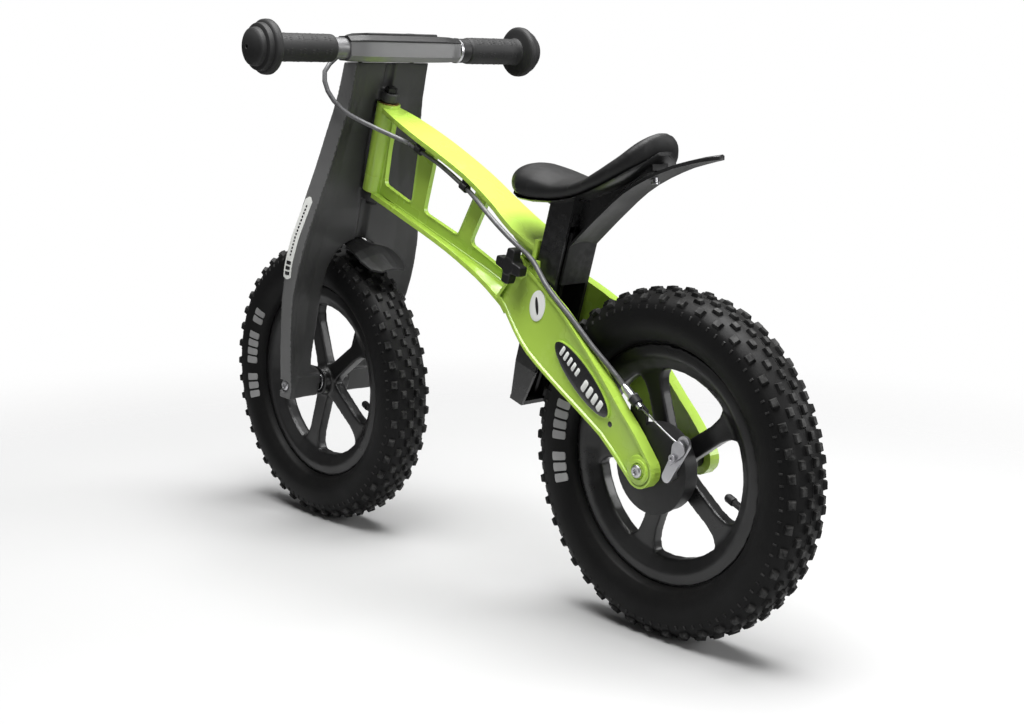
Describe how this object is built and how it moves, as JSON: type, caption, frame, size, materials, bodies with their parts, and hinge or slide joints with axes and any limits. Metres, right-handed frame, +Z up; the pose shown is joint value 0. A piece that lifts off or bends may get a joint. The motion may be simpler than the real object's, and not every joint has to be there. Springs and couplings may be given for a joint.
{
  "type": "balance bike",
  "caption": "Toddler's balance bike with a lime composite frame, knobbly pneumatic tyres, moulded spoked wheels, sliding sprung saddle and a hand-lever rear drum brake.",
  "frame": {"origin": "on the floor, half way between the two axles and in the middle of the width", "axes": "+X forward, +Y to the rider's left, +Z up"},
  "size_m": [0.853, 0.376, 0.557],
  "materials": {
    "lime": "satin moulded composite",
    "black": "fine grained moulding",
    "soft_black": "matt moulding",
    "tyre": "matt rubber",
    "tube": "thin air filled rubber",
    "saddle": "soft grained foam skin",
    "grip": "ribbed soft rubber",
    "silver": "satin",
    "steel": "plated",
    "bar": "grey painted",
    "cable": "grey braided housing",
    "bronze": "sintered",
    "lining": "friction lining"
  },
  "bodies": {
    "frame": {"frame": "lime", "head_bush_upper": "bronze", "head_bush_lower": "bronze", "cable_clip_front": "soft_black", "cable_clip_rear": "soft_black", "brake_cable_housing": "cable", "rear_axle": "steel", "rear_axle_bolt_left": "silver", "rear_axle_bolt_right": "silver", "rear_spacer_left": "black", "rear_spacer_right": "black", "brake_cover": "soft_black", "cable_adjuster": "silver", "adjuster_lock_nut": "silver", "brake_shoe_upper": "lining", "brake_shoe_lower": "lining", "clamp_nut": "steel", "brake_wire": "steel"},
    "steering": {"fork": "black", "steering_pin": "steel", "steering_pin_nut": "steel", "front_mudguard": "soft_black", "bar_clamp": "bar", "bar_clamp_cover": "soft_black", "crown_bolt_left": "steel", "crown_bolt_right": "steel", "handlebar": "bar", "grip_left": "grip", "grip_right": "grip", "brake_lever_bracket": "soft_black", "bracket_band": "silver", "lever_pivot_pin": "steel", "front_axle": "steel", "front_axle_bolt_left": "silver", "front_axle_bolt_right": "silver", "brake_cable_loop": "cable"},
    "front_wheel": {"front_wheel": "black", "front_tyre": "tyre", "front_inner_tube": "tube", "front_valve_cap": "black", "front_bearing_left": "steel", "front_bearing_right": "steel"},
    "rear_wheel": {"rear_wheel": "black", "rear_tyre": "tyre", "rear_inner_tube": "tube", "rear_valve_cap": "black", "rear_bearing_left": "steel", "rear_bearing_right": "steel", "brake_drum": "steel"},
    "seat": {"seat_post": "soft_black", "saddle_pad": "saddle", "saddle_shell": "black", "tail_guard": "soft_black", "tail_guard_screw": "steel"},
    "clamp_knob": {"clamp_knob": "soft_black"},
    "brake_lever": {"brake_lever": "soft_black"},
    "brake_arm": {"brake_arm": "silver", "cable_pinch_plate": "silver", "cable_pinch_bolt": "steel"}
  },
  "joints": [
    {"name": "steering", "type": "hinge", "parent": "frame", "child": "steering", "pos_m": [0.163, 0, 0.428], "axis": [-0.2907, 0, 0.9568], "range_deg": [-35, 35], "deforming": ["brake_cable_loop"]},
    {"name": "front_wheel_spin", "type": "hinge", "parent": "steering", "child": "front_wheel", "pos_m": [0.2665, 0, 0.16], "axis": [0, 1, 0], "continuous": true},
    {"name": "rear_wheel_spin", "type": "hinge", "parent": "frame", "child": "rear_wheel", "pos_m": [-0.2665, 0, 0.16], "axis": [0, 1, 0], "continuous": true},
    {"name": "seat_height", "type": "slide", "parent": "frame", "child": "seat", "axis": [-0.2924, 0, 0.9563], "range_m": [-0.018, 0.07]},
    {"name": "seat_clamp_turn", "type": "hinge", "parent": "frame", "child": "clamp_knob", "pos_m": [-0.091, 0.04, 0.326], "axis": [0, 1, 0], "range_deg": [-180, 180]},
    {"name": "brake_lever_pull", "type": "hinge", "parent": "steering", "child": "brake_lever", "pos_m": [0.1639, -0.086, 0.532], "axis": [0, 0, -1], "range_deg": [0, 15], "stiffness_Nm_per_rad": 0.3},
    {"name": "brake_arm_pull", "type": "hinge", "parent": "frame", "child": "brake_arm", "pos_m": [-0.2975, 0.04, 0.16], "axis": [0, 1, 0], "range_deg": [0, 9], "stiffness_Nm_per_rad": 0.3, "deforming": ["brake_wire"]}
  ],
  "couplings": [
    {"joint": "brake_arm_pull", "follows": "brake_lever_pull", "ratio": 0.6}
  ]
}
